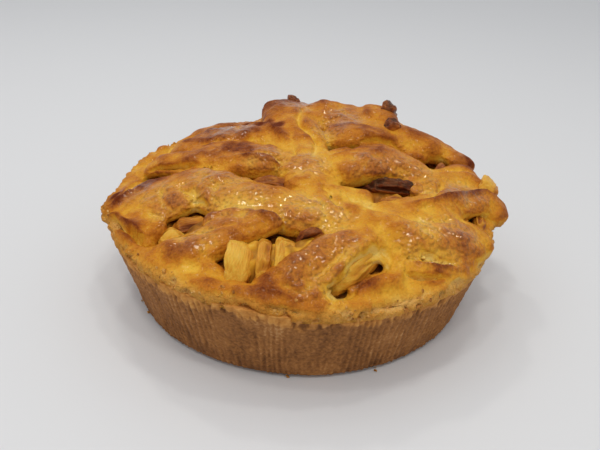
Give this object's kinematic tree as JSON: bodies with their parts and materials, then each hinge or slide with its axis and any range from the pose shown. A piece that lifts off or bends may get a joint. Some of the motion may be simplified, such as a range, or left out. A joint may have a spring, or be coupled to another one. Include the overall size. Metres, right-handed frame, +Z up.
{
  "type": "apple pie",
  "caption": "Whole baked apple pie out of its tin: a fluted crust case, a mounded apple filling and an egg-washed lattice of thick pastry strips with apple slices in its gaps.",
  "frame": {"origin": "centre of the flat base, on the surface that the pie stands on", "axes": "+Z up; the front of the pie, which the picture shows, faces -Y; +X to its right"},
  "size_m": [0.2054, 0.1988, 0.0773],
  "materials": {
    "case_crust": "matte baked shortcrust, cinnamon brown, with fine upright ribs and specks",
    "lattice_crust": "egg-washed shortcrust, golden with browned ridges, glossy on top",
    "filling": "moist cooked apple and juice, amber brown",
    "apple_cooked": "moist cooked apple flesh, pale yellow with golden edges",
    "apple_burnt": "apple tips baked dark red-brown to black"
  },
  "bodies": {
    "root": {"pastry_case": "case_crust", "apple_filling": "filling", "pastry_lattice": "lattice_crust", "apple_slice_front_left": "apple_cooked", "apple_slice_front_edge": "apple_cooked", "apple_slice_front_wide": "apple_cooked", "apple_slice_front_small": "apple_cooked", "apple_wedge_dark": "apple_burnt", "apple_slice_front_right": "apple_cooked", "apple_slice_left": "apple_cooked", "apple_chunk_left": "apple_cooked", "apple_slice_middle": "apple_cooked", "apple_slice_burnt": "apple_burnt", "apple_slice_under_burnt": "apple_cooked", "apple_slice_right": "apple_cooked", "apple_slice_right_end": "apple_cooked", "apple_chunk_right_back": "apple_cooked", "apple_tip_back": "apple_burnt", "apple_tip_back_right": "apple_burnt", "apple_tip_right_back": "apple_burnt", "apple_slice_right_back": "apple_cooked"}
  },
  "joints": []
}
